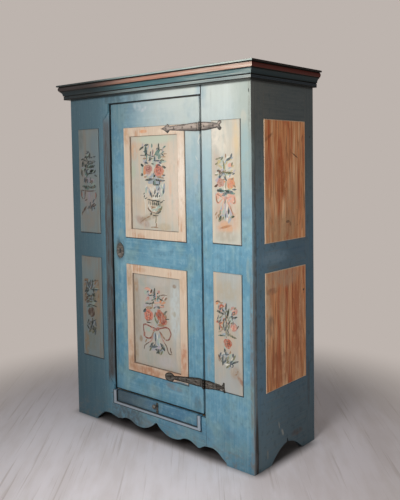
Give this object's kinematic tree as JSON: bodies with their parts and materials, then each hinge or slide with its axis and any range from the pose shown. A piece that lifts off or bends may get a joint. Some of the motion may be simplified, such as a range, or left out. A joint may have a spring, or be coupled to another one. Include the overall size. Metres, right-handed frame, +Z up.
{
  "type": "bonnetiere cabinet",
  "caption": "Painted pine one-door cabinet with fixed panelled flanks, strap hinges, a low drawer, a moulded cornice and sawn bracket feet.",
  "frame": {"origin": "on the floor, at the centre of the whole outline, cornice included", "axes": "+Z up; the front with the door faces -Y; +X is on the right of someone who looks at the front"},
  "size_m": [1.3, 0.551, 1.788],
  "materials": {
    "blue_paint": "old milk paint on pine, satin, worn at edges",
    "cornice_paint": "blue and salmon milk paint on moulded pine",
    "cream_paint": "grey-cream milk paint on pine with painted flowers",
    "salmon_paint": "thin salmon wash on pine",
    "bare_pine": "scraped and waxed pine",
    "raw_pine": "unpainted sawn pine",
    "wrought_iron": "hammered iron, dark, waxed",
    "lock_iron": "sheet iron, dull"
  },
  "bodies": {
    "carcass": {"left_outer_stile": "blue_paint", "left_inner_stile": "blue_paint", "left_front_rails": "blue_paint", "left_foot_rail": "blue_paint", "left_jamb_lath": "blue_paint", "left_lower_panel": "cream_paint", "left_upper_panel": "cream_paint", "left_side_stiles": "blue_paint", "left_side_rails": "blue_paint", "left_side_foot_rail": "blue_paint", "left_side_panels": "bare_pine", "right_outer_stile": "blue_paint", "right_inner_stile": "blue_paint", "right_front_rails": "blue_paint", "right_foot_rail": "blue_paint", "right_jamb_lath": "blue_paint", "right_lower_panel": "cream_paint", "right_upper_panel": "cream_paint", "right_side_stiles": "blue_paint", "right_side_rails": "blue_paint", "right_side_foot_rail": "blue_paint", "right_side_panels": "bare_pine", "header_rail": "blue_paint", "apron": "blue_paint", "back_boards": "raw_pine", "back_rails": "raw_pine", "top_board": "raw_pine", "bottom_board": "raw_pine", "lower_shelf": "raw_pine", "upper_shelf": "raw_pine", "shelf_cleats": "raw_pine", "drawer_runners": "raw_pine", "cornice_front": "cornice_paint", "cornice_left": "cornice_paint", "cornice_right": "cornice_paint", "hinge_leaves": "wrought_iron", "leaf_nails": "wrought_iron", "hinge_pins": "wrought_iron", "lock_keeper": "lock_iron"},
    "door": {"door_hinge_stile": "blue_paint", "door_lock_stile": "blue_paint", "door_bottom_rail": "blue_paint", "door_middle_rail": "blue_paint", "door_top_rail": "blue_paint", "door_lower_panel": "cream_paint", "door_upper_panel": "cream_paint", "door_lower_border": "salmon_paint", "door_upper_border": "salmon_paint", "hinge_straps": "wrought_iron", "strap_nails": "wrought_iron", "escutcheon": "wrought_iron", "lock_case": "lock_iron"},
    "lock_bolt": {"lock_bolt": "lock_iron"},
    "drawer": {"drawer_front": "blue_paint", "drawer_sides": "raw_pine", "drawer_back": "raw_pine", "drawer_bottom": "raw_pine", "pull_plate": "wrought_iron", "drawer_knob": "wrought_iron"}
  },
  "joints": [
    {"name": "door_hinge", "type": "hinge", "parent": "carcass", "child": "door", "pos_m": [0.318, -0.2255, 0.938], "axis": [0, 0, 1], "range_deg": [0, 170]},
    {"name": "drawer_slide", "type": "slide", "parent": "carcass", "child": "drawer", "axis": [0, -1, 0], "range_m": [0, 0.32]},
    {"name": "bolt_slide", "type": "slide", "parent": "door", "child": "lock_bolt", "axis": [-1, 0, 0], "range_m": [0, 0.014]}
  ]
}
